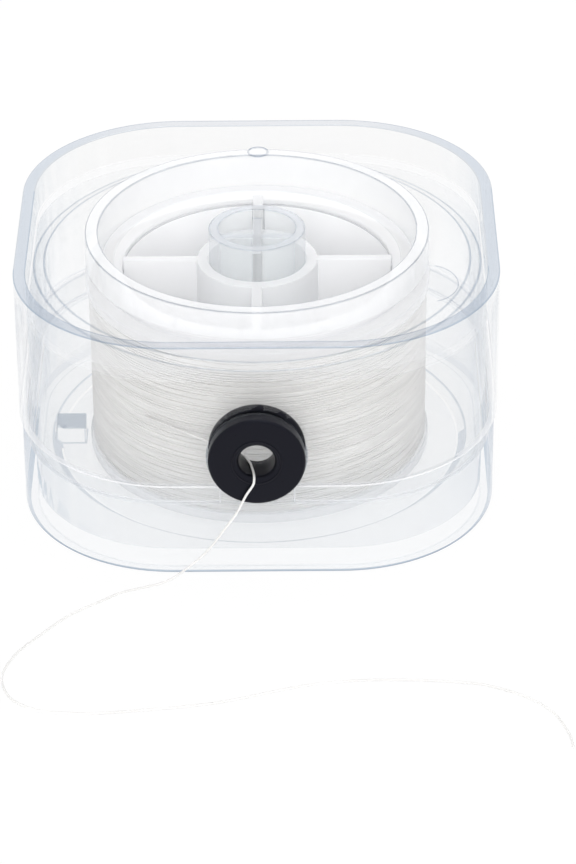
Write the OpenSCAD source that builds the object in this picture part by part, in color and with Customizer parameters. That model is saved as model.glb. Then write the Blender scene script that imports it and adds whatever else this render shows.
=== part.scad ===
// Bobbin box: a clear two-shell case that holds one bobbin of thread.
// The cover lifts off the base, the bobbin turns on the base's spindle, and the
// thread leaves the case through a rubber grommet in the front wall.
// Millimetres. +Z up, -Y is the front, and the origin is the middle of the underside.

/* [Case] */
// Width and depth of the case, a square with round corners
case_w = 70; // [66:0.5:90]
// Height of the case, from the table to the rim
case_h = 37.7; // [36:0.1:48]
// Radius of the case's upright corners
corner_r = 23; // [20:0.5:26]
// Thickness of the upright walls
wall_t = 1.8; // [1.6:0.1:2.2]
// Thickness of the base's floor under the bobbin
floor_t = 2.1; // [1.6:0.1:3]
// Height at which the cover meets the base
seam_z = 14.8; // [13:0.1:16]
// Air left in the seam between the cover and the base
seam_gap = 0.1; // [0.05:0.05:0.2]
// How far the cover stands out past the base
base_inset = 0.35; // [0:0.05:0.6]

/* [Cover] */
// Depth of the round plate below the rim
plate_drop = 4.5; // [3:0.1:8]
// Thickness of the plate in the middle
plate_t = 1.9; // [1.4:0.1:2.6]
// From the case's inner wall to the plate's raised disc
disc_gap = 0.4; // [0.2:0.1:3]
// Width of the sloped edge of the raised disc
disc_slope = 1.5; // [0.5:0.1:3]
// Height of the raised disc above the plate around it
disc_rise = 0.6; // [0.2:0.1:1.2]
// Radius of the round well in the base's floor
well_r = 31.1; // [29:0.1:32.5]
// Width of the well's sloped edge
well_slope = 1.2; // [0.5:0.1:2]
// Depth of the well
well_d = 1; // [0.5:0.1:2]
// Thickness of the collar around the opening in the plate
collar_t = 1.9; // [1.4:0.1:2.6]
// Depth of the cover's lip inside the base's wall
lip_depth = 3.4; // [2:0.1:5]
// Thickness of the cover's lip
lip_t = 0.65; // [0.5:0.05:0.7]
// Diameter of the round nub behind the collar
nub_d = 3; // [2:0.1:4]

/* [Bobbin] */
// Outer radius of the tube that the thread is wound on
core_r = 21.1; // [19:0.1:22]
// Thickness of that tube's wall
core_wall = 1.25; // [1:0.05:1.6]
// Depth of the wound thread on the tube
wound_t = 3.9; // [1:0.1:4.5]
// How far the two flanges stand out past the wound thread
flange_rim = 0.4; // [0.2:0.1:1]
// Thickness of each flange
flange_t = 1.6; // [1.2:0.1:2]
// Thickness of the journal, the raised ring that turns in the collar
journal_t = 1.9; // [1.2:0.1:2.4]
// Height of the journal above the upper flange
journal_h = 1.7; // [1:0.1:2.5]
// Thickness of the wall of the tube that turns on the spindle
hub_wall = 1.7; // [1.2:0.1:2.4]
// Thickness of the four ribs
rib_t = 1.5; // [1:0.1:2.5]
// How far the ribs and the hub stand above the upper flange
rib_rise = 1.7; // [0:0.1:2]

/* [Spindle] */
// Outer radius of the spindle
spindle_r = 7.1; // [6:0.1:8]
// Thickness of the spindle's wall
spindle_wall = 1.5; // [1.1:0.1:2]
// Thickness of the crossed webs inside the spindle
web_t = 1.5; // [1:0.1:2]
// Depth of the webs below the spindle's rim
web_drop = 1.4; // [0.5:0.1:6]
// Height of the thrust ring that the bobbin rests on
thrust_h = 0.4; // [0.3:0.1:1]

/* [Lug] */
// Length of the lug beside the bobbin, across the case
lug_l = 4.4; // [3:0.1:5]
// Width of the lug, from front to back
lug_w = 4; // [2:0.1:8]
// Height of the lug above the floor
lug_h = 2.9; // [1:0.1:6]

/* [Grommet] */
// Radius of the grommet's flanges
grommet_r = 6.9; // [6:0.1:8]
// Thickness of each grommet flange
grommet_t = 1.6; // [1.2:0.1:2]
// Radius of the neck between the flanges
neck_r = 5.1; // [4.5:0.1:5.6]
// Radius of the bore that the thread runs through
bore_r = 2.55; // [2:0.05:3]
// Width of the flare at each mouth of the bore
flare = 0.75; // [0.3:0.05:1]

/* [Thread] */
// Diameter of the thread
thread_d = 0.35; // [0.3:0.05:0.5]

/* [Fits] */
// Radial play of the hub on the spindle
hub_play = 0.1; // [0.05:0.01:0.2]
// Radial play of the journal in the collar
journal_play = 0.3; // [0.2:0.05:0.5]
// Play above and below the bobbin
end_play = 0.3; // [0.2:0.05:0.5]
// Play between the cover's lip and the base
lip_play = 0.12; // [0.1:0.01:0.2]
// Play around the grommet's neck and beside its flanges
grommet_play = 0.05; // [0.03:0.01:0.1]
// Hairline left where two pieces of the bobbin meet
joint_gap = 0.05; // [0.02:0.01:0.1]

/* [Hidden] */
$fn = 96;
CLEAR = [0.86, 0.89, 0.94, 0.35];
cut = 1;            // how far a cutter runs past the face that it cuts
nub_bite = 0.4;     // how far the nub is sunk into the collar
rest_play = 0.1;    // air between the thrust ring and the bobbin at rest
journal_land = 0.7; // straight wall left above the slope of the journal's bore
lug_gap = 0.8;      // from the bobbin's flange to the lug

// Case
cover_half = case_w / 2;
base_half = cover_half - base_inset;
base_corner = corner_r - base_inset;
inner_half = cover_half - wall_t;
inner_corner = corner_r - wall_t;
lip_outer = inner_half + lip_t;
rebate_half = lip_outer + lip_play;
lip_z = seam_z - lip_depth;

// Plate, collar and bobbin, from the top down
plate_z = case_h - plate_drop;
plate_under = plate_z - plate_t;
ledge_z = plate_z - disc_rise;
disc_r = inner_half - disc_gap;
journal_r = core_r + journal_t;
collar_r = journal_r + journal_play;
nub_y = collar_r + collar_t + nub_d / 2 - nub_bite;
winding_r = core_r + wound_t;
flange_r = winding_r + flange_rim;
thrust_z = floor_t + thrust_h;
bobbin_z = thrust_z + rest_play;
flange_top = plate_under - end_play;
flange_under = flange_top - flange_t;
lower_flange_top = bobbin_z + flange_t;
hub_bore_r = spindle_r + hub_play;
hub_r = hub_bore_r + hub_wall;
core_bore_r = core_r - core_wall;
rib_top = flange_top + rib_rise;
journal_top = flange_top + journal_h;
journal_slope = journal_h - journal_land;
lug_x = flange_r + lug_gap;

// Grommet: its neck rests on the base's front wall, its groove holds the cover's wall
grommet_z = seam_z + neck_r + grommet_play;
groove_w = wall_t + 2 * grommet_play;
grommet_y = -cover_half + wall_t / 2;
notch_r = neck_r + 2 * grommet_play;

// Route of the thread outside the case, from the bore to its cut end on the table
TAIL = [
    [-0.9, -33.4, 17.8], [-0.7, -34.4, 17.7], [-0.5, -35.5, 17.7], [-0.4, -36.4, 17.6],
    [-0.4, -37.0, 17.2], [-0.6, -37.2, 16.5], [-1.6, -37.2, 14.8], [-2.9, -37.2, 12.0],
    [-4.7, -37.2, 9.2], [-7.5, -37.2, 5.2], [-11.4, -37.4, 1.7], [-13.6, -37.8, 0.6],
    [-16.0, -38.3, 0.24], [-19.7, -39.8, 0.2], [-21.9, -41.5, 0.2], [-26.6, -45.3, 0.2],
    [-30.5, -50.2, 0.2], [-33.7, -55.0, 0.2], [-35.2, -60.3, 0.2], [-33.9, -65.0, 0.2],
    [-31.0, -67.6, 0.2], [-28.0, -68.6, 0.2], [-22.7, -69.0, 0.2], [-17.0, -68.5, 0.2],
    [-9.0, -67.4, 0.2], [-3.7, -66.2, 0.2], [4.5, -63.4, 0.2], [10.0, -62.1, 0.2],
    [15.5, -61.6, 0.2], [22.4, -61.7, 0.2], [29.0, -62.4, 0.2], [32.2, -63.3, 0.2],
    [36.8, -65.8, 0.2], [40.2, -69.4, 0.2], [42.0, -74.2, 0.2], [42.4, -77.4, 0.2]
];

// Route of the thread inside the case, from the winding to the middle of the bore
LEAD = [
    [-16.4, -19.3, 17.2], [-6.5, -27.7, 17.8], [-2.2, -31.3, 18.1], [-1.5, -32.2, 18.0],
    [-0.9, -33.4, 17.8]
];

function unit(v) = v / norm(v);

// A point of the smooth curve through p1 and p2, with p0 and p3 as its neighbours
function smooth_point(p0, p1, p2, p3, t) =
    0.5 * (2 * p1 + (p2 - p0) * t + (2 * p0 - 5 * p1 + 4 * p2 - p3) * t * t
           + (3 * p1 - p0 - 3 * p2 + p3) * t * t * t);

function smooth_path(p, steps) = [
    for (i = [0 : len(p) - 2], k = [0 : steps - 1])
        smooth_point(p[max(i - 1, 0)], p[i], p[i + 1], p[min(i + 2, len(p) - 1)], k / steps),
    p[len(p) - 1]
];

function tangents(p) = [
    for (i = [0 : len(p) - 1]) unit(p[min(i + 1, len(p) - 1)] - p[max(i - 1, 0)])
];

// Normals carried along the path without twist
function normals(t, i, last) =
    i == len(t) ? [] : let (n = unit(last - (last * t[i]) * t[i])) concat([n], normals(t, i + 1, n));

// A round cord along a path
module cord(path, d, sides = 8) {
    t = tangents(path);
    n = normals(t, 0, [1, 0, 0.2]);
    rings = [
        for (i = [0 : len(path) - 1], k = [0 : sides - 1])
            path[i] + d / 2 * (cos(360 * k / sides) * n[i] + sin(360 * k / sides) * cross(t[i], n[i]))
    ];
    last = (len(path) - 1) * sides;
    skin = [
        for (i = [0 : len(path) - 2], k = [0 : sides - 1], half = [0, 1])
            let (a = i * sides + k, b = i * sides + (k + 1) % sides)
                half == 0 ? [a, a + sides, b + sides] : [a, b + sides, b]
    ];
    ends = [[for (k = [0 : sides - 1]) k], [for (k = [0 : sides - 1]) last + sides - 1 - k]];
    polyhedron(points = rings, faces = concat(skin, ends), convexity = 8);
}

// A square with round corners, as wide as 2 * half
module round_square(half, r) {
    square([2 * half, 2 * (half - r)], center = true);
    square([2 * (half - r), 2 * half], center = true);
    for (x = [-1, 1], y = [-1, 1])
        translate([x * (half - r), y * (half - r)]) circle(r = r);
}

// An upright wall between two round squares
module wall(outer_half, outer_corner, inner_half, inner_corner, z0, z1) {
    translate([0, 0, z0]) linear_extrude(z1 - z0) difference() {
        round_square(outer_half, outer_corner);
        round_square(inner_half, inner_corner);
    }
}

// A ring about the bobbin's axis
module ring(outer, inner, z0, z1) {
    translate([0, 0, z0]) difference() {
        cylinder(r = outer, h = z1 - z0);
        translate([0, 0, -cut]) cylinder(r = inner, h = z1 - z0 + 2 * cut);
    }
}

// The plate: a raised disc with a sloped edge, on a thinner plate that reaches the case's walls
module plate() {
    translate([0, 0, plate_under]) linear_extrude(ledge_z - plate_under) difference() {
        round_square(inner_half + wall_t / 2, inner_corner + wall_t / 2);
        circle(r = (collar_r + disc_r) / 2);
    }
    rotate_extrude() polygon([
        [collar_r, plate_under], [disc_r, plate_under], [disc_r, ledge_z],
        [disc_r - disc_slope, plate_z], [collar_r, plate_z]
    ]);
}

// The room in the base: the round well in the floor and the wider room above it
module tray_room() intersection() {
    translate([0, 0, floor_t]) linear_extrude(seam_z)
        round_square(inner_half - base_inset, inner_corner - base_inset);
    rotate_extrude() polygon([
        [0, floor_t], [well_r - well_slope, floor_t], [well_r, floor_t + well_d],
        [2 * case_w, floor_t + well_d], [2 * case_w, 2 * seam_z], [0, 2 * seam_z]
    ]);
}

module spindle() {
    ring(spindle_r, spindle_r - spindle_wall, floor_t / 2, case_h);
    for (turn = [0, 90]) rotate(turn)
        translate([-spindle_r + spindle_wall / 2, -web_t / 2, floor_t / 2])
            cube([2 * spindle_r - spindle_wall, web_t, case_h - web_drop - floor_t / 2]);
}

module base_tray() {
    difference() {
        linear_extrude(seam_z) round_square(base_half, base_corner);
        tray_room();
        translate([0, 0, lip_z - seam_gap]) linear_extrude(seam_z)
            round_square(rebate_half, corner_r - cover_half + rebate_half);
    }
}

module base_shell() color(CLEAR) {
    base_tray();
    spindle();
    ring(hub_r, spindle_r - spindle_wall / 2, floor_t / 2, thrust_z);
    translate([-lug_x - lug_l, -lug_w / 2, floor_t / 2]) cube([lug_l, lug_w, lug_h + floor_t / 2]);
}

// The slot over the grommet's neck, open at the bottom so that the cover lifts off it
module grommet_notch() {
    translate([0, -inner_half + wall_t, 0]) rotate([90, 0, 0]) {
        translate([0, grommet_z, 0]) cylinder(r = notch_r, h = 3 * wall_t);
        translate([-notch_r, lip_z - cut, 0]) cube([2 * notch_r, grommet_z - lip_z + cut, 3 * wall_t]);
    }
}

module cover_shell() color(CLEAR) difference() {
    union() {
        wall(cover_half, corner_r, inner_half, inner_corner, seam_z + seam_gap, case_h);
        wall(lip_outer, inner_corner + lip_t, inner_half, inner_corner, lip_z, seam_z + 2 * wall_t);
        plate();
        ring(collar_r + collar_t, collar_r, plate_under, case_h);
        translate([0, nub_y, plate_under]) cylinder(d = nub_d, h = case_h - plate_under);
    }
    grommet_notch();
}

// A disc with a full round edge, on the grommet's axis, centred at height z
module round_disc_profile(z) {
    translate([0, z - grommet_t / 2]) square([grommet_r - grommet_t / 2, grommet_t]);
    translate([grommet_r - grommet_t / 2, z]) circle(d = grommet_t, $fn = 32);
}

module grommet() color([0.1, 0.1, 0.15]) {
    disc_z = (groove_w + grommet_t) / 2;
    face_z = disc_z + grommet_t / 2;
    translate([0, grommet_y, grommet_z]) rotate([90, 0, 0]) rotate_extrude() difference() {
        union() {
            translate([0, -disc_z]) square([neck_r, 2 * disc_z]);
            round_disc_profile(disc_z);
            round_disc_profile(-disc_z);
        }
        translate([-bore_r, -face_z - cut]) square([2 * bore_r, 2 * (face_z + cut)]);
        for (side = [-1, 1]) scale([1, side]) polygon([
            [0, face_z - flare], [bore_r, face_z - flare], [bore_r + flare + cut, face_z + cut],
            [0, face_z + cut]
        ]);
    }
}

// The hub, the four ribs, the winding tube and the closed lower flange
module bobbin_body() color(CLEAR) {
    ring(flange_r, hub_bore_r, bobbin_z, lower_flange_top);
    ring(hub_r, hub_bore_r, bobbin_z, rib_top);
    ring(core_r, core_bore_r, bobbin_z, flange_top);
    for (turn = [0 : 90 : 270]) rotate(turn) {
        translate([hub_r - hub_wall / 2, -rib_t / 2, bobbin_z])
            cube([core_bore_r + core_wall / 2 - hub_r + hub_wall / 2, rib_t, flange_top - bobbin_z]);
        translate([hub_r - hub_wall / 2, -rib_t / 2, flange_under])
            cube([core_bore_r - 2 * joint_gap - hub_r + hub_wall / 2, rib_t, rib_top - flange_under]);
    }
}

// The upper flange and its journal, a separate ring seated on the winding tube
module bobbin_flange() color(CLEAR) rotate_extrude() polygon([
    [core_r + joint_gap, flange_under], [flange_r, flange_under], [flange_r, flange_top],
    [journal_r, flange_top], [journal_r, journal_top], [core_r, journal_top],
    [core_bore_r, journal_top - journal_slope], [core_bore_r, flange_top + joint_gap],
    [core_r + joint_gap, flange_top + joint_gap]
]);

module thread_winding() color([0.94, 0.93, 0.9])
    ring(winding_r, core_r + joint_gap, lower_flange_top + joint_gap, flange_under - joint_gap);

module thread_lead() color([0.94, 0.93, 0.9]) cord(smooth_path(LEAD, 3), thread_d);

module thread_tail() color([0.94, 0.93, 0.9]) cord(smooth_path(TAIL, 2), thread_d);

base_shell();
cover_shell();
grommet();
bobbin_body();
bobbin_flange();
thread_winding();
thread_lead();
thread_tail();
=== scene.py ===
"""Bobbin box: a clear case with a turning bobbin of thread, dressed around its CAD frame."""

import math
import random

import bpy
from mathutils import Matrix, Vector


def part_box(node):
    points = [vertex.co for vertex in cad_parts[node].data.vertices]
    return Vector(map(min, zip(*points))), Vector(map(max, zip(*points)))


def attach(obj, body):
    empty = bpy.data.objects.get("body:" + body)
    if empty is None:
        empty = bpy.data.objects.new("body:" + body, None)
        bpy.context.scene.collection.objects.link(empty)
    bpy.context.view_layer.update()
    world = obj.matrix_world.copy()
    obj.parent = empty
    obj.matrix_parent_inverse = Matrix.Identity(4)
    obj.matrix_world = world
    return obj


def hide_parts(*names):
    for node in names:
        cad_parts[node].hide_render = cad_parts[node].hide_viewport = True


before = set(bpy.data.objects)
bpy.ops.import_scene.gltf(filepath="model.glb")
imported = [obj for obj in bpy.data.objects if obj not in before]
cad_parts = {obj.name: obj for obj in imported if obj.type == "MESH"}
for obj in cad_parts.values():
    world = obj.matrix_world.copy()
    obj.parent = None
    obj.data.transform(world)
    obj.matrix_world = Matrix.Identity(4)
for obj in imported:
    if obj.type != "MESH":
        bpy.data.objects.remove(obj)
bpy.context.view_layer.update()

bl_info = {
    "name": "Bobbin Box",
    "version": (1, 0, 0),
    "blender": (4, 5, 0),
    "location": "View3D > Sidebar > Bobbin Box",
    "description": "Models a clear bobbin box with its bobbin, winding, grommet and thread",
    "category": "Object",
}

MM = 0.001
PAST = 1 * MM  # how far a cutter runs past the face that it cuts
NEAR = 0.03 * MM  # points and heights that lie nearer than this count as one

# Steps around what is round
ROUND_STEPS = 160
BORE_STEPS = 120
HUB_STEPS = 112
SMALL_STEPS = 96
NUB_STEPS = 48
CORNER_STEPS = 28
FOOT_STEPS = 5

# How far up a face's normal points, from a level face to an upright one
LEVEL = 0.9999
NEARLY_LEVEL = 0.9
STEEP = 0.3
UPRIGHT = 0.1

# Sizes that the frame gives
COVER_LOW, COVER_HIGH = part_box("cover_shell")
BASE_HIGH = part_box("base_shell")[1]
GROMMET_LOW, GROMMET_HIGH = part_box("grommet")
BODY_LOW, BODY_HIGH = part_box("bobbin_body")
FLANGE_LOW, FLANGE_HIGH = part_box("bobbin_flange")
WINDING_LOW, WINDING_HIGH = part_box("thread_winding")
COVER_HALF = COVER_HIGH.x
BASE_HALF = BASE_HIGH.x
RIM = COVER_HIGH.z
LIP_Z = COVER_LOW.z
GROMMET_R = GROMMET_HIGH.x
GROMMET_Y = (GROMMET_LOW.y + GROMMET_HIGH.y) / 2
GROMMET_Z = (GROMMET_LOW.z + GROMMET_HIGH.z) / 2
GROMMET_DEPTH = GROMMET_HIGH.y - GROMMET_LOW.y

# Camera, fitted to the view: where it stands, how it is turned and how long its lens is
CAMERA_PLACE = (6.0 * MM, -475.5 * MM, 293.6 * MM)
CAMERA_TURN = (58.531, 0.418, -0.051)
CAMERA_LENS = 153.44
SENSOR_WIDTH = 36

# Each softbox: its name, its place, its width, its power in watts and whether gloss mirrors it
SOFTBOXES = [
    ("top_softbox", (0.1, 0.1, 0.9), 0.8, 2.65, True),
    ("front_softbox", (0, -0.95, 0.5), 0.5, 5.0, False),
]
SWEEP_SIZE = 3
SWEEP_GLOW = 0.96  # the share of the sweep's look that is its own light
FILL = 0.84  # the light that comes from all round

# The ends of the rim's painted light middle (a lighter tint for the refraction seen through its
# front and back), as distances from the middle plane
RIM_PAINTED_LIGHT_MIDDLE, RIM_PAINTED_LIGHT_END = 12 * MM, 33 * MM

# The winding, in thread diameters: how deep the solid pack, the close layer and the crossing
# layers lie under its outside, and how far a turn strays up or down and in or out
PACK_DEPTH, CLOSE_DEPTH, CROSS_DEPTH = 0.75, 0.56, 0.55
RISE_STRAY, REACH_STRAY = 0.25, 0.08
TURN_STEPS = 72
PATH_STEPS = 6

# The thread's route outside the case, as the CAD source has it, in millimetres
TAIL = [
    (-0.9, -33.4, 17.8), (-0.7, -34.4, 17.7), (-0.5, -35.5, 17.7), (-0.4, -36.4, 17.6),
    (-0.4, -37.0, 17.2), (-0.6, -37.2, 16.5), (-1.6, -37.2, 14.8), (-2.9, -37.2, 12.0),
    (-4.7, -37.2, 9.2), (-7.5, -37.2, 5.2), (-11.4, -37.4, 1.7), (-13.6, -37.8, 0.6),
    (-16.0, -38.3, 0.24), (-19.7, -39.8, 0.2), (-21.9, -41.5, 0.2), (-26.6, -45.3, 0.2),
    (-30.5, -50.2, 0.2), (-33.7, -55.0, 0.2), (-35.2, -60.3, 0.2), (-33.9, -65.0, 0.2),
    (-31.0, -67.6, 0.2), (-28.0, -68.6, 0.2), (-22.7, -69.0, 0.2), (-17.0, -68.5, 0.2),
    (-9.0, -67.4, 0.2), (-3.7, -66.2, 0.2), (4.5, -63.4, 0.2), (10.0, -62.1, 0.2),
    (15.5, -61.6, 0.2), (22.4, -61.7, 0.2), (29.0, -62.4, 0.2), (32.2, -63.3, 0.2),
    (36.8, -65.8, 0.2), (40.2, -69.4, 0.2), (42.0, -74.2, 0.2), (42.4, -77.4, 0.2),
]

# The same thread inside the case, from the winding to the middle of the bore
LEAD = [
    (-16.4, -19.3, 17.2), (-6.5, -27.7, 17.8), (-2.2, -31.3, 18.1), (-1.5, -32.2, 18.0),
    (-0.9, -33.4, 17.8),
]


def linear(hex_colour):
    """A six-digit sRGB hex colour as linear red, green and blue."""
    parts = [int(hex_colour[i:i + 2], 16) / 255 for i in (0, 2, 4)]
    return [c / 12.92 if c <= 0.04045 else ((c + 0.055) / 1.055) ** 2.4 for c in parts]


def length(name, description, millimetres):
    """A length property with its default in millimetres."""
    return bpy.props.FloatProperty(
        name=name, description=description, default=millimetres * MM, min=0, precision=5,
        unit="LENGTH",
    )


def colour(name, description, hex_colour):
    """A colour property with its default as sRGB hex."""
    return bpy.props.FloatVectorProperty(
        name=name, description=description, default=linear(hex_colour), min=0, max=1, size=3,
        subtype="COLOR",
    )


class CaseSizes(bpy.types.PropertyGroup):
    """Sizes of the base and the cover."""
    wall: length("Wall", "Thickness of the upright walls", 1.8)
    corner: length("Corner", "Radius of the cover's upright corners", 23)
    floor: length("Floor", "Thickness of the floor under the bobbin", 2.1)
    well: length("Well", "Radius of the round well in the floor", 31.1)
    well_slope: length("Well slope", "Width of the well's sloped edge", 1.2)
    well_depth: length("Well depth", "Depth of the well", 1.0)
    seam: length("Seam", "Height at which the cover meets the base", 14.8)
    seam_gap: length("Seam gap", "Air in the seam", 0.1)
    lip: length("Lip", "Thickness of the cover's lip", 0.65)
    lip_play: length("Lip play", "Play between the lip and the base", 0.12)
    plate_drop: length("Plate drop", "Depth of the plate below the rim", 4.5)
    plate: length("Plate", "Thickness of the plate", 1.9)
    disc_gap: length("Disc gap", "From the case's inner wall to the plate's raised disc", 0.4)
    disc_slope: length("Disc slope", "Width of the sloped edge of the raised disc", 1.5)
    disc_rise: length("Disc rise", "Height of the raised disc above the plate around it", 0.6)
    collar: length("Collar", "Inner radius of the collar", 23.3)
    collar_wall: length("Collar wall", "Thickness of the collar", 1.9)
    nub: length("Nub", "Diameter of the nub on the back of the collar", 3.0)
    nub_inset: length("Nub inset", "Reach of the nub past the collar's inner face", 0.3)
    nub_mark: length("Nub mark", "Width of the ring around the nub's top", 0.28)
    spindle: length("Spindle", "Outer radius of the spindle", 7.1)
    spindle_wall: length("Spindle wall", "Thickness of the spindle's wall", 1.5)
    web: length("Web", "Thickness of the spindle's crossed webs", 1.5)
    web_drop: length("Web drop", "Depth of the webs below the spindle's rim", 1.4)
    thrust: length("Thrust ring", "Height of the ring that the bobbin rests on", 0.4)
    notch: length("Notch", "Radius of the slot over the grommet's neck", 5.2)
    lug_x: length("Lug place", "Distance of the lug from the spindle's axis", 26.2)
    lug_l: length("Lug length", "Length of the lug across the case", 4.4)
    lug_w: length("Lug width", "Width of the lug from front to back", 4.0)
    lug_h: length("Lug height", "Height of the lug above the floor", 2.9)
    mark: length("Mark", "Width of the low curved line on the plate", 0.16)
    mark_x: length("Mark place across", "Middle of the curved line, to the right of the axis", 24.6)
    mark_y: length("Mark place along", "Middle of the curved line, in front of the axis", 9.0)
    mark_w: length("Mark width", "Reach of the curved line across the plate", 4.6)
    mark_l: length("Mark length", "Reach of the curved line along the plate", 5.5)
    foot_round: length("Foot rounding", "Radius of the base's lower outside edge", 0.7)
    foot: length("Foot", "Height of the foot around the underside", 0.3)
    edge: length("Edge", "Radius of the moulded edges", 0.18)


class BobbinSizes(bpy.types.PropertyGroup):
    """Sizes of the bobbin."""
    flange: length("Flange", "Thickness of each flange", 1.6)
    core: length("Core", "Outer radius of the winding tube", 21.1)
    core_wall: length("Core wall", "Thickness of the winding tube", 1.25)
    journal: length("Journal", "Outer radius of the journal", 23.0)
    mouth: length("Mouth", "Depth of the slope inside the journal's rim", 1.0)
    hub: length("Hub", "Outer radius of the hub", 8.9)
    bore: length("Bore", "Radius of the hub's bore", 7.2)
    rib: length("Rib", "Thickness of the ribs", 1.5)
    rib_step: length("Rib step", "Height at the tube's top that the ribs leave free", 0.3)
    seat: length("Seat", "Hairline between the flange and the tube", 0.05)
    edge: length("Edge", "Radius of the moulded edges", 0.18)


class GrommetSizes(bpy.types.PropertyGroup):
    """Sizes of the rubber grommet."""
    flange: length("Flange", "Thickness of the flange inside the case", 1.6)
    front_flange: length("Front flange", "Thickness of the flange outside the case", 2.2)
    round: length("Round", "Radius of the front flange's edges", 0.4)
    bead: length("Bead", "Radius of the bead around the mouth of the bore", 0.13)
    bead_place: length("Bead place", "Distance of the bead from the bore's axis", 3.45)
    neck: length("Neck", "Radius of the neck", 5.1)
    bore: length("Bore", "Radius of the bore", 2.55)
    flare: length("Flare", "Width of the flare at each mouth of the bore", 0.75)


class ThreadSizes(bpy.types.PropertyGroup):
    """Sizes of the thread and of how it is wound."""
    diameter: length("Diameter", "Diameter of the thread", 0.35)
    pitch: length("Pitch", "Rise of one close turn", 0.4)
    cross_pitch: length("Cross pitch", "Rise of one crossing turn", 1.9)
    play: length("Play", "Gap between the winding tube and the pack", 0.05)


class Finishes(bpy.types.PropertyGroup):
    """Colours of the rubber and the thread."""
    rubber: colour("Rubber", "Black rubber of the grommet", "06070D")
    thread: colour("Thread", "Ivory thread", "E5E4E2")


# Modelling -----------------------------------------------------------------------------------


def pick(obj):
    """Selects one object and makes it the active one."""
    bpy.ops.object.select_all(action="DESELECT")
    obj.select_set(True)
    bpy.context.view_layer.objects.active = obj


def settle(obj):
    """Puts an object's place and size into its mesh."""
    pick(obj)
    bpy.ops.object.transform_apply(location=True, rotation=True, scale=True)
    return obj


def new_primitive(name):
    obj = bpy.context.active_object
    obj.name = name
    return settle(obj)


def pick_edges(obj, wanted):
    """Leaves only the edges selected for which wanted(start, end) is true."""
    bpy.context.tool_settings.mesh_select_mode = (False, True, False)
    mesh = obj.data
    for part in (*mesh.vertices, *mesh.polygons):
        part.select = False
    for edge in mesh.edges:
        start, end = (mesh.vertices[i].co for i in edge.vertices)
        edge.select = wanted(start, end)


def round_edges(obj, wanted, radius, steps):
    """Rounds the edges for which wanted(start, end) is true."""
    pick_edges(obj, wanted)
    bpy.ops.object.mode_set(mode="EDIT")
    bpy.ops.mesh.bevel(
        offset=radius, offset_type="OFFSET", segments=steps, profile=0.5, affect="EDGES"
    )
    bpy.ops.object.mode_set(mode="OBJECT")
    return obj


def rounded_prism(name, half, corner, low, high):
    """An upright square block with round corners."""
    bpy.ops.object.select_all(action="DESELECT")
    bpy.ops.mesh.primitive_cube_add(
        size=1, location=(0, 0, (low + high) / 2), scale=(2 * half, 2 * half, high - low)
    )
    obj = new_primitive(name)
    return round_edges(obj, lambda a, b: abs(a.z - b.z) > (high - low) / 2, corner, CORNER_STEPS)


def disc(name, radius, low, high, steps=ROUND_STEPS, place=(0, 0), top=None):
    """An upright cylinder, or a cone cut off at its own top radius."""
    bpy.ops.object.select_all(action="DESELECT")
    bpy.ops.mesh.primitive_cone_add(
        vertices=steps, radius1=radius, radius2=top or radius, depth=high - low,
        location=(*place, (low + high) / 2),
    )
    return new_primitive(name)


def block(name, low, high):
    """A block between two corners."""
    low, high = Vector(low), Vector(high)
    bpy.ops.object.select_all(action="DESELECT")
    bpy.ops.mesh.primitive_cube_add(size=1, location=(low + high) / 2, scale=high - low)
    return new_primitive(name)


def crossed(name, reach, thick, low, high):
    """Two upright plates that cross on the axis."""
    halves = ((reach, thick / 2), (thick / 2, reach))
    return [block(name, (-x, -y, low), (x, y, high)) for x, y in halves]


def lay_down(obj, y):
    """Turns a piece's upright axis to run from front to back, at the grommet's height."""
    obj.rotation_euler.x = math.radians(90)
    obj.location = (0, y, GROMMET_Z)
    return settle(obj)


def combine(target, operation, *others):
    """Cuts other solids from a solid, or joins them to it, and uses them up."""
    for other in others:
        modifier = target.modifiers.new(operation.title(), "BOOLEAN")
        modifier.operation = operation
        modifier.solver = "EXACT"
        modifier.object = other
        pick(target)
        bpy.ops.object.modifier_apply(modifier=modifier.name)
        bpy.data.objects.remove(other)
    return target


def spun(name, outline, steps=ROUND_STEPS):
    """A closed outline of (radius, height) points turned about the upright axis."""
    mesh = bpy.data.meshes.new(name)
    count = len(outline)
    edges = [(i, (i + 1) % count) for i in range(count)]
    mesh.from_pydata([(r, 0, z) for r, z in outline], edges, [])
    obj = bpy.data.objects.new(name, mesh)
    bpy.context.collection.objects.link(obj)
    pick(obj)
    bpy.ops.object.mode_set(mode="EDIT")
    bpy.ops.mesh.select_all(action="SELECT")
    bpy.ops.mesh.spin(steps=steps, angle=2 * math.pi, center=(0, 0, 0), axis=(0, 0, 1))
    bpy.ops.mesh.select_all(action="SELECT")
    bpy.ops.mesh.normals_make_consistent(inside=False)
    bpy.ops.object.mode_set(mode="OBJECT")
    return obj


def angles(start, end, steps):
    """Angles in equal steps between two that are given in degrees."""
    return [math.radians(start + (end - start) * i / steps) for i in range(steps + 1)]


def arc(centre, radius, start, end, steps):
    """Points of an arc, with its angles in degrees."""
    turns = angles(start, end, steps)
    return [(centre[0] + radius * math.cos(t), centre[1] + radius * math.sin(t)) for t in turns]


def finish(obj, *finishes):
    """Gives a piece its finishes: the first for its faces and the second for its rounded edges."""
    obj.data.materials.clear()
    for name in finishes:
        obj.data.materials.append(MATERIALS[name])
    return obj


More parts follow.
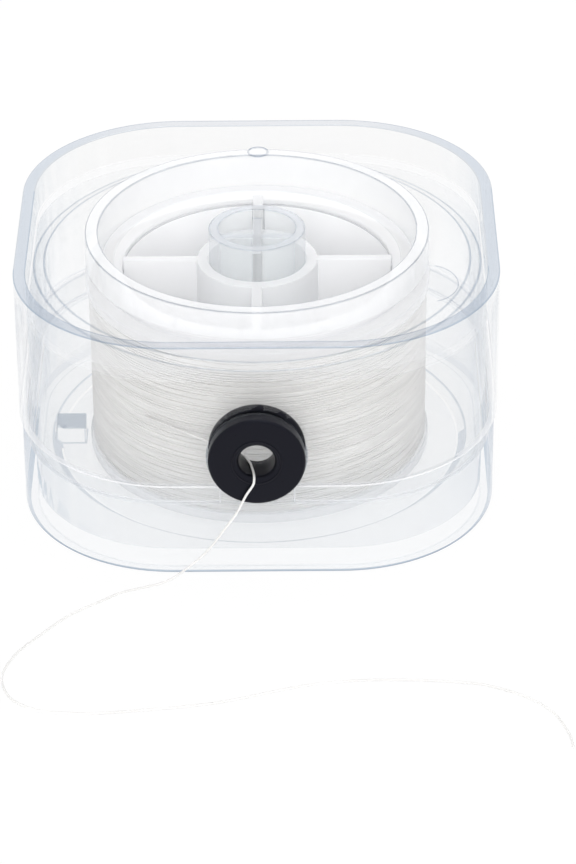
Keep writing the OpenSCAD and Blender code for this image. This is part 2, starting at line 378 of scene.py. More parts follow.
def soften(obj, radius, angle=35):
    """Rounds a moulding's edges and smooths its curved faces."""
    pick(obj)
    bpy.ops.object.mode_set(mode="EDIT")
    bpy.ops.mesh.select_all(action="SELECT")
    bpy.ops.mesh.remove_doubles(threshold=NEAR)
    bpy.ops.object.mode_set(mode="OBJECT")
    modifier = obj.modifiers.new("Moulded edge", "BEVEL")
    modifier.width = radius
    modifier.segments = 3
    modifier.limit_method = "ANGLE"
    modifier.angle_limit = math.radians(angle)
    modifier.harden_normals = True
    modifier.use_clamp_overlap = False
    # Bevel faces take the piece's second finish; on the case that is a darker edge tint, painted
    # shade for the refraction lines along the moulded edges
    modifier.material = 1
    bpy.ops.object.modifier_apply(modifier=modifier.name)
    bpy.ops.object.shade_smooth_by_angle(angle=math.radians(angle))
    for face in obj.data.polygons:
        face.use_smooth = abs(face.normal.z) < LEVEL


def outside(spot, half, corner):
    """How far a point lies outside an upright square with round corners, or below zero inside."""
    past_x, past_y = abs(spot.x) - half + corner, abs(spot.y) - half + corner
    return math.hypot(max(past_x, 0), max(past_y, 0)) + min(max(past_x, past_y), 0) - corner


class Facet:
    """What a face's finish goes by: its middle, its distance from the axis and its normal."""

    def __init__(self, face):
        self.middle, self.normal = face.center, face.normal
        self.x, self.y, self.z = self.middle
        self.r, self.up = self.middle.xy.length, self.normal.z


def finish_number(obj, name):
    return obj.data.materials.find(MATERIALS[name].name)


def refinish(obj, name, where, *among):
    """Gives another finish to the faces for which where(facet) is true.

    They come from the faces with the finishes in among, or without it with the first two.
    """
    number = finish_number(obj, name)
    sources = [finish_number(obj, source) for source in among] or (0, 1)
    for face in obj.data.polygons:
        if face.material_index in sources and where(Facet(face)):
            face.material_index = number


def mark_ends(obj, name, where, *heights):
    """Gives a finish to the level tops of walls, where(radius) being true for all their points."""
    number = finish_number(obj, name)
    for face in obj.data.polygons:
        level = face.normal.z > LEVEL and any(abs(face.center.z - z) < NEAR for z in heights)
        if level and all(where(obj.data.vertices[i].co.xy.length) for i in face.vertices):
            face.material_index = number


def mark_inside(obj, plain, reach):
    """Gives the walls' inner faces the finish that darkens where it is grazed."""
    refinish(obj, "inside", lambda f: (
        f.normal.xy.dot(f.middle.xy) < 0 and abs(f.up) < UPRIGHT and f.r > reach
    ), plain)


def dress(obj, slot, body, *nodes):
    """Seats a piece on its body, in place of its CAD nodes."""
    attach(obj, body)
    if nodes:
        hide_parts(*nodes)


# Threads -------------------------------------------------------------------------------------


def smooth_path(points, steps):
    """The smooth curve through the points that the CAD source sweeps its cord along."""
    path = []
    for i in range(len(points) - 1):
        p0, p1 = points[max(i - 1, 0)], points[i]
        p2, p3 = points[i + 1], points[min(i + 2, len(points) - 1)]
        for k in range(steps):
            t = k / steps
            path.append(
                0.5 * (2 * p1 + (p2 - p0) * t + (2 * p0 - 5 * p1 + 4 * p2 - p3) * t * t
                       + (3 * p1 - p0 - 3 * p2 + p3) * t * t * t)
            )
    path.append(points[-1])
    return path


def strand(name, path, diameter, sides_step=2):
    """A thread as a curve with a round section."""
    data = bpy.data.curves.new(name, "CURVE")
    data.dimensions = "3D"
    data.bevel_depth = diameter / 2
    data.bevel_resolution = sides_step
    data.use_fill_caps = True
    line = data.splines.new("POLY")
    line.points.add(len(path) - 1)
    for point, place in zip(line.points, path):
        point.co = (*place, 1)
    obj = bpy.data.objects.new(name, data)
    bpy.context.collection.objects.link(obj)
    return obj


# Materials -----------------------------------------------------------------------------------


def plug(made, name):
    """An input socket by its number or name: of several with one name, the enabled one."""
    if isinstance(name, int):
        return made.inputs[name]
    return next(socket for socket in made.inputs if socket.name == name and socket.enabled)


def outlet(made, name):
    return next(socket for socket in made.outputs if socket.name == name and socket.enabled)


def add_node(tree, kind, sockets=None, **settings):
    """Adds a node, sets it, and sets or links its input sockets."""
    made = tree.nodes.new(kind)
    for name, value in settings.items():
        setattr(made, name, value)
    for name, value in (sockets or {}).items():
        if isinstance(value, bpy.types.NodeSocket):
            tree.links.new(value, plug(made, name))
        else:
            plug(made, name).default_value = value
    return made


def new_material(name):
    material = bpy.data.materials.new(name)
    material.use_nodes = True
    material.node_tree.nodes.clear()
    return material, material.node_tree


def opaque(rgb):
    return (*rgb, 1)


def clear_polystyrene(name, tint, depth, haze=0.0, gloss=0.04, graze=0.8, middle=None):
    """Polystyrene, injection moulded and polished: clear, with a cool tint that deepens edge on.

    It mirrors gloss of the light square on and graze of it edge on. A rim may have a lighter tint
    in the middle of its front and back: painted light standing in for the brighter refraction
    there.
    """
    material, tree = new_material(name)
    place = add_node(tree, "ShaderNodeTexCoord")
    flow = add_node(tree, "ShaderNodeTexNoise", {
        "Vector": place.outputs["Object"], "Scale": 90.0, "Detail": 2.0, "Roughness": 0.5,
    })
    polish = add_node(tree, "ShaderNodeMapRange", {
        "Value": flow.outputs["Fac"], "To Min": 0.01, "To Max": 0.06,
    })
    facing = add_node(tree, "ShaderNodeLayerWeight", {"Blend": 0.5})
    slant = add_node(tree, "ShaderNodeMath", {
        0: facing.outputs["Facing"], 1: 3.0,
    }, operation="POWER")
    shade = add_node(tree, "ShaderNodeMix", {
        "Factor": slant.outputs["Value"], "A": opaque(linear(tint)), "B": opaque(linear(depth)),
    }, data_type="RGBA")
    # Painted light: the tint turns lighter across the middle of the rim's front and back, standing
    # in for the refraction seen there
    if middle:
        spot = add_node(tree, "ShaderNodeSeparateXYZ", {"Vector": place.outputs["Object"]})
        across = add_node(tree, "ShaderNodeMath", {0: spot.outputs["X"]}, operation="ABSOLUTE")
        end = add_node(tree, "ShaderNodeMapRange", {
            "Value": across.outputs["Value"], "From Min": RIM_PAINTED_LIGHT_MIDDLE, "From Max": RIM_PAINTED_LIGHT_END,
        }, interpolation_type="SMOOTHSTEP")
        shade = add_node(tree, "ShaderNodeMix", {
            "Factor": end.outputs["Result"], "A": opaque(linear(middle)),
            "B": outlet(shade, "Result"),
        }, data_type="RGBA")
    see = add_node(tree, "ShaderNodeBsdfTransparent", {"Color": outlet(shade, "Result")})
    shine = add_node(tree, "ShaderNodeBsdfGlossy", {
        "Color": (1, 1, 1, 1), "Roughness": polish.outputs["Result"],
    })
    grazed = add_node(tree, "ShaderNodeMath", {
        0: facing.outputs["Facing"], 1: 5.0,
    }, operation="POWER")
    mirror = add_node(tree, "ShaderNodeMapRange", {
        "Value": grazed.outputs["Value"], "To Min": gloss, "To Max": graze,
    })
    surface = add_node(tree, "ShaderNodeMixShader", {
        "Fac": mirror.outputs["Result"], 1: see.outputs["BSDF"], 2: shine.outputs["BSDF"],
    })
    if haze:
        milk = add_node(tree, "ShaderNodeBsdfDiffuse", {"Color": (0.96, 0.96, 0.965, 1)})
        surface = add_node(tree, "ShaderNodeMixShader", {
            "Fac": haze, 1: surface.outputs["Shader"], 2: milk.outputs["BSDF"],
        })
    add_node(tree, "ShaderNodeOutputMaterial", {"Surface": surface.outputs["Shader"]})
    return material


def moulded_rubber(name, rgb):
    """Nitrile rubber, compression moulded: black with a soft satin sheen and a fine matt grain."""
    material, tree = new_material(name)
    place = add_node(tree, "ShaderNodeTexCoord")
    grain = add_node(tree, "ShaderNodeTexNoise", {
        "Vector": place.outputs["Object"], "Scale": 2600.0, "Detail": 3.0,
    })
    bump = add_node(tree, "ShaderNodeBump", {
        "Height": grain.outputs["Fac"], "Strength": 0.15, "Distance": 0.05 * MM,
    })
    sheen = add_node(tree, "ShaderNodeMapRange", {
        "Value": grain.outputs["Fac"], "To Min": 0.24, "To Max": 0.38,
    })
    surface = add_node(tree, "ShaderNodeBsdfPrincipled", {
        "Base Color": opaque(rgb), "Roughness": sheen.outputs["Result"], "IOR": 1.5,
        "Specular IOR Level": 0.22, "Specular Tint": (0.8, 0.8, 1.0, 1),
        "Normal": bump.outputs["Normal"],
    })
    add_node(tree, "ShaderNodeOutputMaterial", {"Surface": surface.outputs["BSDF"]})
    return material


def spun_thread(name, rgb):
    """Polyester thread, spun and twisted: matt ivory, uneven from turn to turn."""
    material, tree = new_material(name)
    place = add_node(tree, "ShaderNodeTexCoord")
    along = add_node(tree, "ShaderNodeMapping", {
        "Vector": place.outputs["Object"], "Scale": (120.0, 120.0, 2400.0),
    })
    shade = add_node(tree, "ShaderNodeTexNoise", {
        "Vector": along.outputs["Vector"], "Scale": 1.0, "Detail": 3.0,
    })
    tone = add_node(tree, "ShaderNodeValToRGB", {"Fac": shade.outputs["Fac"]})
    tone.color_ramp.elements[0].position = 0.3
    tone.color_ramp.elements[0].color = opaque([c * 0.86 for c in rgb])
    tone.color_ramp.elements[1].position = 0.7
    tone.color_ramp.elements[1].color = opaque(rgb)
    fibre = add_node(tree, "ShaderNodeTexNoise", {
        "Vector": place.outputs["Object"], "Scale": 9000.0, "Detail": 2.0,
    })
    bump = add_node(tree, "ShaderNodeBump", {
        "Height": fibre.outputs["Fac"], "Strength": 0.4, "Distance": 0.05 * MM,
    })
    surface = add_node(tree, "ShaderNodeBsdfPrincipled", {
        "Base Color": tone.outputs["Color"], "Roughness": 0.75, "Sheen Weight": 0.3,
        "Normal": bump.outputs["Normal"],
    })
    add_node(tree, "ShaderNodeOutputMaterial", {"Surface": surface.outputs["BSDF"]})
    return material


def white_sweep(name):
    """Seamless paper, lit to white: what looks at it sees white, and it keeps a faint shadow."""
    material, tree = new_material(name)
    rays = add_node(tree, "ShaderNodeLightPath")
    seen = add_node(tree, "ShaderNodeMath", {
        0: rays.outputs["Is Camera Ray"], 1: rays.outputs["Is Transmission Ray"],
    }, operation="MAXIMUM")
    seen = add_node(tree, "ShaderNodeMath", {
        0: seen.outputs["Value"], 1: rays.outputs["Is Glossy Ray"],
    }, operation="MAXIMUM")
    share = add_node(tree, "ShaderNodeMath", {
        0: seen.outputs["Value"], 1: SWEEP_GLOW,
    }, operation="MULTIPLY")
    paper = add_node(tree, "ShaderNodeBsdfDiffuse", {"Color": (0.95, 0.95, 0.95, 1)})
    white = add_node(tree, "ShaderNodeEmission", {"Color": (1, 1, 1, 1), "Strength": 1.0})
    mixed = add_node(tree, "ShaderNodeMixShader", {
        "Fac": share.outputs["Value"], 1: paper.outputs["BSDF"], 2: white.outputs["Emission"],
    })
    add_node(tree, "ShaderNodeOutputMaterial", {"Surface": mixed.outputs["Shader"]})
    return material


# Clear polystyrene by finish: its tint square on, its tint edge on and what sets it apart
# Several of these finishes are painted shade and light, not a change in the plastic: the edge
# tints, the rim and ring tops and the front of the well's slope
DULL = {"gloss": 0.01, "graze": 0.15}
CLEAR = {
    "cover": ("FDFDFD", "F7F8F9", {}),
    "plate": ("FCFCFC", "F6F7F8", {"haze": 0.15}),
    "base": ("F9FAFB", "F3F4F7", {"haze": 0.08}),
    # Painted shade: a darker tint for the front half only of the well's sloped edge
    "slope": ("DCE1E8", "CFD6E0", {"haze": 0.1}),
    "spindle": ("FBFCFC", "F7F8FA", {"haze": 0.2, **DULL}),
    # Painted shade: a darker edge tint for the rim's front edges and the base's lower front and
    # side edges, standing in for the dark refraction lines seen there
    "painted_shade_edge": ("BFCBD8", "A5B5C6", {"gloss": 0.12}),
    "inside": ("FDFDFD", "E2E7EC", {}),
    "seam": ("F6F7F9", "E8ECF1", {"haze": 0.5, "gloss": 0.1}),
    # Partly the cool tint of the plastic, partly painted shade: the rounded edges take a darker
    # blue-grey that stands in for the dark refraction lines along them
    "edge": ("DADFE5", "C1C8D2", {"gloss": 0.12}),
    # Painted shade: the rim's top is tinted blue-grey for the refraction seen down through the
    # wall, and lighter across the middle of its front and back
    "rim": ("DDE3EB", "CDD5E0", {"middle": "EBEDF1"}),
    "faint": ("FEFEFE", "F8FAFB", {"haze": 0.05, **DULL}),
    "collar": ("FEFEFE", "F8FAFB", {"haze": 0.36, **DULL}),
    # Painted shade as for edge, on the collar's top edges
    "collar_edge": ("D6DADF", "BDC4CC", {"gloss": 0.12}),
    # Painted shade: the tops of the spindle's ring and webs are tinted blue-grey for the refraction
    # seen through them
    "ring_top": ("E6EAEF", "DBE0E7", {"haze": 0.25, "gloss": 0.06}),
    "tube": ("FEFEFE", "FAFBFC", {"haze": 0.85, **DULL}),
    "mark": ("EDEFF2", "E4E7EC", {"gloss": 0.01, "graze": 0.1}),
    "bobbin": ("FEFEFE", "FAFBFC", {"haze": 0.5, "gloss": 0.02}),
    "ribs": ("FEFEFE", "FAFBFC", {"haze": 0.45, **DULL}),
    "rib_tops": ("FEFEFE", "F8F9FB", {"haze": 0.45, "gloss": 0.02}),
    "flange": ("FEFEFE", "F8F9FB", {"haze": 0.36, "gloss": 0.02}),
    "bobbin_edge": ("EDF0F3", "DDE2E8", {"haze": 0.4, "gloss": 0.12}),
}
MATERIALS = {}


def make_materials(finishes):
    for name, (tint, depth, options) in CLEAR.items():
        MATERIALS[name] = clear_polystyrene(f"clear_polystyrene_{name}", tint, depth, **options)
    MATERIALS["rubber"] = moulded_rubber("moulded_nitrile_rubber", finishes.rubber)
    MATERIALS["thread"] = spun_thread("spun_polyester_thread", finishes.thread)


# Pieces --------------------------------------------------------------------------------------


class BOBBINBOX_OT_cover(bpy.types.Operator):
    """Model the cover: rim, plate, collar, nub, lip and the slot over the grommet"""
    bl_idname = "bobbinbox.cover"
    bl_label = "Cover"

    def execute(self, context):
        s = context.scene.bobbinbox_case
        inner = COVER_HALF - s.wall
        inner_corner = s.corner - s.wall
        plate_z = RIM - s.plate_drop
        ledge_z = plate_z - s.disc_rise
        plate_under = plate_z - s.plate
        disc_r = inner - s.disc_gap
        collar_outer = s.collar + s.collar_wall
        nub_y = s.collar + s.nub / 2 - s.nub_inset

        cover = rounded_prism("cover_shell_clear", COVER_HALF, s.corner, s.seam + s.seam_gap, RIM)
        lip = rounded_prism("lip", inner + s.lip, inner_corner + s.lip, LIP_Z, s.seam + 2 * s.wall)
        combine(cover, "UNION", lip)
        room = rounded_prism("room", inner, inner_corner, LIP_Z - PAST, plate_under)
        combine(cover, "DIFFERENCE", room)

        disc_foot = disc_r + s.disc_slope * PAST / s.disc_rise
        pocket = rounded_prism("pocket", inner, inner_corner, ledge_z, RIM + PAST)
        combine(
            pocket, "DIFFERENCE",
            disc("raised_disc", disc_foot, ledge_z - PAST, plate_z, top=disc_r - s.disc_slope),
            disc("collar", collar_outer, ledge_z - PAST, RIM + 2 * PAST),
            disc("nub", s.nub / 2, ledge_z - PAST, RIM + 2 * PAST, NUB_STEPS, (0, nub_y)),
        )
        opening = disc("opening", s.collar, ledge_z - 5 * PAST, RIM + PAST)
        combine(cover, "DIFFERENCE", pocket, opening)

        notch = disc("notch", s.notch, -2 * s.wall, 2 * s.wall, SMALL_STEPS)
        lay_down(notch, -inner - s.wall / 2)
        slot = block("slot", (-s.notch, -COVER_HALF - s.wall, LIP_Z - PAST),
                     (s.notch, -inner + s.wall, GROMMET_Z))
        combine(cover, "DIFFERENCE", combine(notch, "UNION", slot))
        grommet = context.scene.bobbinbox_grommet
        sunk = grommet.flange + grommet.front_flange + s.wall - GROMMET_DEPTH
        seat = disc("seat", GROMMET_R + s.lip_play, 0, 2 * sunk, SMALL_STEPS)
        combine(cover, "DIFFERENCE", lay_down(seat, -COVER_HALF + sunk))

        finish(cover, "cover", "edge", "rim", "plate", "inside", "faint", "collar", "collar_edge",
               "painted_shade_edge", "seam", "mark")
        soften(cover, s.edge, angle=15)
        refinish(cover, "cover", lambda f: (
            plate_under - PAST < f.z < plate_z and f.r > disc_r + s.edge
            and outside(f.middle, inner, inner_corner) < s.edge
        ))
        # The rim's level top takes the rim tint: painted refraction shade
        mark_ends(cover, "rim", lambda radius: radius > disc_r, RIM)
        refinish(cover, "plate", lambda f: (
            plate_under - PAST < f.z < plate_z + PAST and abs(f.up) > NEARLY_LEVEL
        ), "cover")
        mark_inside(cover, "cover", disc_r)
        nub_place = Vector((0, nub_y))
        refinish(cover, "collar", lambda f: (
            plate_z - 2 * s.edge < f.z < RIM - s.edge
            and (f.middle.xy - nub_place).length < s.nub / 2 + 2 * s.edge
        ), "cover", "edge", "plate", "inside")
        on_collar, at_rim = collar_outer + s.edge, RIM - 2 * s.edge
        # Painted shade: the collar's top edges take the darker collar edge tint
        refinish(cover, "collar_edge", lambda f: f.z > at_rim and f.r < on_collar, "edge")
        refinish(cover, "collar", lambda f: f.r < on_collar, "cover", "inside")
        refinish(cover, "faint", lambda f: (
            f.z < plate_z + 2 * s.edge and f.r < on_collar
        ), "edge")
        # The back seam's edges take the paler mark tint, so their painted edge shade is fainter
        # than at the front
        refinish(cover, "mark", lambda f: f.y > s.wall and f.z < s.seam + PAST, "edge")
        # Painted shade: the rim's front edges take the darker edge tint
        refinish(cover, "painted_shade_edge", lambda f: f.z > at_rim and f.y < 0 and f.r > disc_r, "edge")
        refinish(cover, "seam", lambda f: f.z < s.seam + PAST and f.y < s.wall, "edge")
        dress(cover, "case_clear", "cover", "cover_shell")

        mark = strand("plate_mark_clear", [
            Vector((s.mark_x + s.mark_w * math.cos(t), -s.mark_y + s.mark_l * math.sin(t), plate_z))
            for t in angles(-72, 72, 24)
        ], s.mark)
        dress(finish(mark, "mark"), "case_clear", "cover")
        ring = strand("nub_edge_clear", [
            Vector((x, y, RIM - s.nub_mark / 2)) for x, y in arc((0, nub_y), s.nub / 2, 0, 360, 36)
        ], s.nub_mark)
        dress(finish(ring, "edge"), "case_clear", "cover")
        return {"FINISHED"}


class BOBBINBOX_OT_base(bpy.types.Operator):
    """Model the base: tray, round floor, spindle with crossed webs, thrust ring and lug"""
    bl_idname = "bobbinbox.base"
    bl_label = "Base"

    def execute(self, context):
        s = context.scene.bobbinbox_case
        bobbin = context.scene.bobbinbox_bobbin
        inset = COVER_HALF - BASE_HALF
        corner = s.corner - inset
        inner = COVER_HALF - s.wall
        ledge_z = s.floor + s.well_depth
        rebate = inner + s.lip + s.lip_play
        foot_half, foot_corner = BASE_HALF - s.wall, corner - s.wall
        lug = ((-s.lug_x - s.lug_l, -s.lug_w / 2, 0), (-s.lug_x, s.lug_w / 2, s.floor + s.lug_h))

        base = rounded_prism("base_shell_clear", BASE_HALF, corner, 0, s.seam)
        round_edges(base, lambda a, b: max(a.z, b.z) < s.edge, s.foot_round, FOOT_STEPS)
        combine(base, "UNION", disc("spindle", s.spindle, s.floor / 2, BASE_HIGH.z))

        floor_room = disc("floor_room", s.well - s.well_slope, s.floor, ledge_z + PAST,
                          top=s.well + s.well_slope * PAST / s.well_depth)
        combine(
            floor_room, "DIFFERENCE",
            disc("kept_thrust", bobbin.hub, 0, s.floor + s.thrust),
            disc("kept_spindle", s.spindle, 0, s.seam),
            block("kept_lug", *lug),
        )
        room = rounded_prism("room", inner - inset, foot_corner, ledge_z, s.seam + PAST)
        combine(
            room, "DIFFERENCE",
            disc("kept_spindle", s.spindle, 0, s.seam + 2 * PAST), block("kept_lug", *lug),
        )
        combine(base, "DIFFERENCE", floor_room, room)
        step = rounded_prism("rebate", rebate, s.corner - COVER_HALF + rebate,
                             LIP_Z - s.seam_gap, s.seam + PAST)
        combine(step, "DIFFERENCE", disc("kept_spindle", s.spindle, 0, s.seam + 2 * PAST))
        combine(base, "DIFFERENCE", step)

        web_top = BASE_HIGH.z - s.web_drop
        spindle_bore = s.spindle - s.spindle_wall
        pockets = disc("pockets", spindle_bore, s.floor, BASE_HIGH.z + PAST, SMALL_STEPS)
        combine(pockets, "DIFFERENCE", *crossed("web", s.spindle, s.web, 0, web_top))
        combine(base, "DIFFERENCE", pockets)
        combine(base, "DIFFERENCE", rounded_prism("foot", foot_half, foot_corner, -PAST, s.foot))

        finish(base, "base", "edge", "rim", "faint", "inside", "ring_top", "spindle", "painted_shade_edge",
               "seam", "slope", "mark")
        soften(base, s.edge)
        refinish(base, "base", lambda f: (
            f.z < ledge_z + PAST and f.r > s.well + s.edge
            and outside(f.middle, foot_half, foot_corner) < s.edge
        ))
        refinish(base, "edge", lambda f: (
            f.z < s.foot_round and f.up < -UPRIGHT
            and outside(f.middle, foot_half, foot_corner) > s.wall / 2
        ))
        # Painted shade: the base's lower outside edges, all but those at the back, take the darker
        # edge tint
        refinish(base, "painted_shade_edge", lambda f: (
            f.z < s.foot_round and f.y < s.corner / 2
            and outside(f.middle, foot_half, foot_corner) > s.wall / 2
        ), "edge")
        # The level tops of the spindle and webs take painted refraction shade, first as rim, then
        # as ring_top
        mark_ends(base, "rim", lambda radius: radius < s.well, BASE_HIGH.z, web_top)
        mark_inside(base, "base", s.well + s.well_slope)
        refinish(base, "spindle", lambda f: (
            f.r < s.spindle + s.edge and abs(f.up) < STEEP and f.z > s.floor
        ), "base", "edge", "inside")
        # Painted shade: the front half of the well's slope is tinted darker, the back half not
        refinish(base, "slope", lambda f: (
            s.well - s.well_slope < f.r < s.well and STEEP < f.up < NEARLY_LEVEL
            and f.y < 0 and f.z < ledge_z
        ), "base")
        refinish(base, "spindle", lambda f: (
            f.r < spindle_bore - s.edge and f.z > s.floor + s.edge
        ), "base", "edge", "inside")
        # The edges at the back, low and high, take the paler mark tint, so their painted edge shade
        # is fainter than at the front
        refinish(base, "mark", lambda f: (
            f.y > s.corner / 2 and (f.z < s.foot_round or f.z > ledge_z + PAST)
        ), "edge")
        refinish(base, "faint", lambda f: f.r < bobbin.hub + s.edge, "base")
        refinish(base, "faint", lambda f: (
            s.spindle + s.edge < f.r < s.well - s.well_slope / 2 and f.z < s.floor + s.thrust
            and (f.x > s.edge - s.lug_x or abs(f.y) > s.lug_w)
        ), "edge")
        refinish(base, "ring_top", lambda f: f.r < s.spindle + s.edge, "rim")
        refinish(base, "seam", lambda f: (
            f.z > ledge_z + PAST and f.y < s.wall and f.r > s.well
        ), "edge")
        refinish(base, "edge", lambda f: (
            f.z > s.floor + s.edge and max(f.up, f.normal.y) > NEARLY_LEVEL
            and abs(f.x + s.lug_x + s.lug_l / 2) < s.lug_l / 2 and abs(f.y) < s.lug_w
        ))
        dress(base, "case_clear", "base", "base_shell")
        return {"FINISHED"}


class BOBBINBOX_OT_bobbin(bpy.types.Operator):
    """Model the bobbin: hub, ribs, winding tube and lower flange, and the upper flange"""
    bl_idname = "bobbinbox.bobbin"
    bl_label = "Bobbin"

    def execute(self, context):
        s = context.scene.bobbinbox_bobbin
        radius = BODY_HIGH.x
        low, rib_top = BODY_LOW.z, BODY_HIGH.z
        under, journal_top = FLANGE_LOW.z, FLANGE_HIGH.z
        top = under + s.flange
        bore = s.core - s.core_wall

        body = disc("bobbin_body_clear", radius, low, low + s.flange)
        foot = low + s.flange / 2
        tube = disc("tube", s.core, foot, top)
        combine(tube, "DIFFERENCE", disc("tube_bore", bore, low, top + PAST, BORE_STEPS))
        spokes, crossing = crossed("rib", bore + s.core_wall / 2, s.rib, foot, rib_top)
        combine(spokes, "UNION", crossing)
        ends = disc("rib_ends", s.core, top - s.rib_step, rib_top + PAST, BORE_STEPS)
        kept = disc("kept_ribs", bore - 2 * s.seat, low, rib_top + 2 * PAST, BORE_STEPS)
        combine(spokes, "DIFFERENCE", combine(ends, "DIFFERENCE", kept))
        combine(spokes, "UNION", disc("hub", s.hub, foot, rib_top, HUB_STEPS))
        combine(body, "UNION", tube, spokes)
        combine(body, "DIFFERENCE", disc("bore", s.bore, 0, rib_top + PAST))
        finish(body, "bobbin", "bobbin_edge", "rib_tops", "ribs", "tube")
        soften(body, s.edge)
        mark_ends(body, "rib_tops", lambda radius: radius < s.core, rib_top, top)
        within = bore - s.edge
        refinish(body, "rib_tops", lambda f: f.z > top - s.edge and f.r < within, "bobbin_edge")
        refinish(body, "ribs", lambda f: f.z > low + 2 * s.flange and f.r < within)
        refinish(body, "tube", lambda f: (
            within < f.r < s.core + s.edge and abs(f.up) < STEEP
        ), "bobbin", "ribs")
        dress(body, "bobbin_clear", "bobbin", "bobbin_body")

        flange = spun("bobbin_flange_clear", [
            (s.core + s.seat, under), (radius, under), (radius, top), (s.journal, top),
            (s.journal, journal_top), (s.core, journal_top), (bore, journal_top - s.mouth),
            (bore, top + s.seat), (s.core + s.seat, top + s.seat),
        ])
        finish(flange, "flange", "bobbin_edge", "bobbin")
        soften(flange, s.edge)
        refinish(flange, "bobbin", lambda f: f.r < s.core + s.edge and abs(f.up) < NEARLY_LEVEL)
        dress(flange, "bobbin_clear", "bobbin", "bobbin_flange")
        return {"FINISHED"}


class BOBBINBOX_OT_grommet(bpy.types.Operator):
    """Model the grommet: two round-edged flanges, the groove between them and the flared bore"""
    bl_idname = "bobbinbox.grommet"
    bl_label = "Grommet"

    def execute(self, context):
        s = context.scene.bobbinbox_grommet
        face = GROMMET_DEPTH / 2
        rim, front_rim = GROMMET_R - s.flange / 2, GROMMET_R - s.round
        back = -face + s.flange
        front = face - s.front_flange
        outline = arc((s.bore + s.flare, -face + s.flare), s.flare, 180, 270, 8)[1:]
        outline += arc((rim, -face + s.flange / 2), s.flange / 2, -90, 90, 12)
        outline += [(s.neck, back), (s.neck, front)]
        outline += arc((front_rim, front + s.round), s.round, -90, 0, 6)
        outline += arc((front_rim, face - s.round), s.round, 0, 90, 6)
        outline += arc((s.bead_place, face), s.bead, 0, 180, 6)
        outline += arc((s.bore + s.flare, face - s.flare), s.flare, 90, 180, 8)
        grommet = lay_down(spun("grommet_rubber", outline, SMALL_STEPS), GROMMET_Y)
        bpy.ops.object.shade_smooth_by_angle(angle=math.radians(40))
        dress(finish(grommet, "rubber"), "grommet_rubber", "base", "grommet")
        return {"FINISHED"}


class BOBBINBOX_OT_winding(bpy.types.Operator):
    """Wind the bobbin: close turns of thread with a few crossing turns over them"""
    bl_idname = "bobbinbox.winding"
    bl_label = "Winding"

    def execute(self, context):
        s = context.scene.bobbinbox_thread
        inside = context.scene.bobbinbox_bobbin.core + s.play
        filled = WINDING_HIGH.x - PACK_DEPTH * s.diameter
        low, high = WINDING_LOW.z, WINDING_HIGH.z
        pack = spun("winding_pack", [(inside, low), (filled, low), (filled, high), (inside, high)])
        dice = random.Random(7)
        layers = [
            self.layer(CLOSE_DEPTH, s.pitch, 1, dice, s.diameter),
            self.layer(CROSS_DEPTH, s.cross_pitch, 1, dice, s.diameter),
            self.layer(CROSS_DEPTH, s.cross_pitch, -1, dice, s.diameter),
        ]
        for layer in layers:
            pick(layer)
            bpy.ops.object.convert(target="MESH")
        bpy.ops.object.select_all(action="DESELECT")
        for piece in (*layers, pack):
            piece.select_set(True)
        bpy.context.view_layer.objects.active = pack
        bpy.ops.object.join()
        pack.name = "thread_winding_turns"
        bpy.ops.object.shade_smooth_by_angle(angle=math.radians(60))
        dress(finish(pack, "thread"), "thread_ivory", "bobbin", "thread_winding")
        return {"FINISHED"}

    def layer(self, depth, pitch, direction, dice, diameter):
        """One layer of turns, each a little uneven in height and depth."""
        radius = WINDING_HIGH.x - depth * diameter
        low, high = WINDING_LOW.z + diameter / 2, WINDING_HIGH.z - diameter / 2
        count = int((high - low) / pitch * TURN_STEPS)
        stray = [dice.uniform(-1, 1) for _ in range(count // TURN_STEPS + 2)]
        path = []
        for i in range(count + 1):
            turn, share = divmod(i, TURN_STEPS)
            share /= TURN_STEPS
            wander = (stray[turn] * (1 - share) + stray[turn + 1] * share) * diameter
            angle = direction * 2 * math.pi * i / TURN_STEPS
            z = low + (high - low) * i / count + RISE_STRAY * wander
            r = radius + REACH_STRAY * wander
            path.append(Vector((r * math.cos(angle), r * math.sin(angle), min(max(z, low), high))))
        return strand("turns", path, diameter, 1)


class BOBBINBOX_OT_thread(bpy.types.Operator):
    """Lay the thread: the lead from the winding to the bore, and the free tail over the table"""
    bl_idname = "bobbinbox.thread"
    bl_label = "Thread"

    def execute(self, context):
        s = context.scene.bobbinbox_thread
        lead_path = smooth_path([Vector(p) * MM for p in LEAD], PATH_STEPS)
        lead = strand("thread_lead_strand", lead_path, s.diameter)
        dress(finish(lead, "thread"), "thread_ivory", "base", "thread_lead")
        tail_path = smooth_path([Vector(p) * MM for p in TAIL], PATH_STEPS)
        tail = strand("thread_tail_strand", tail_path, s.diameter)
        dress(finish(tail, "thread"), "thread_ivory", "base", "thread_tail")
        return {"FINISHED"}


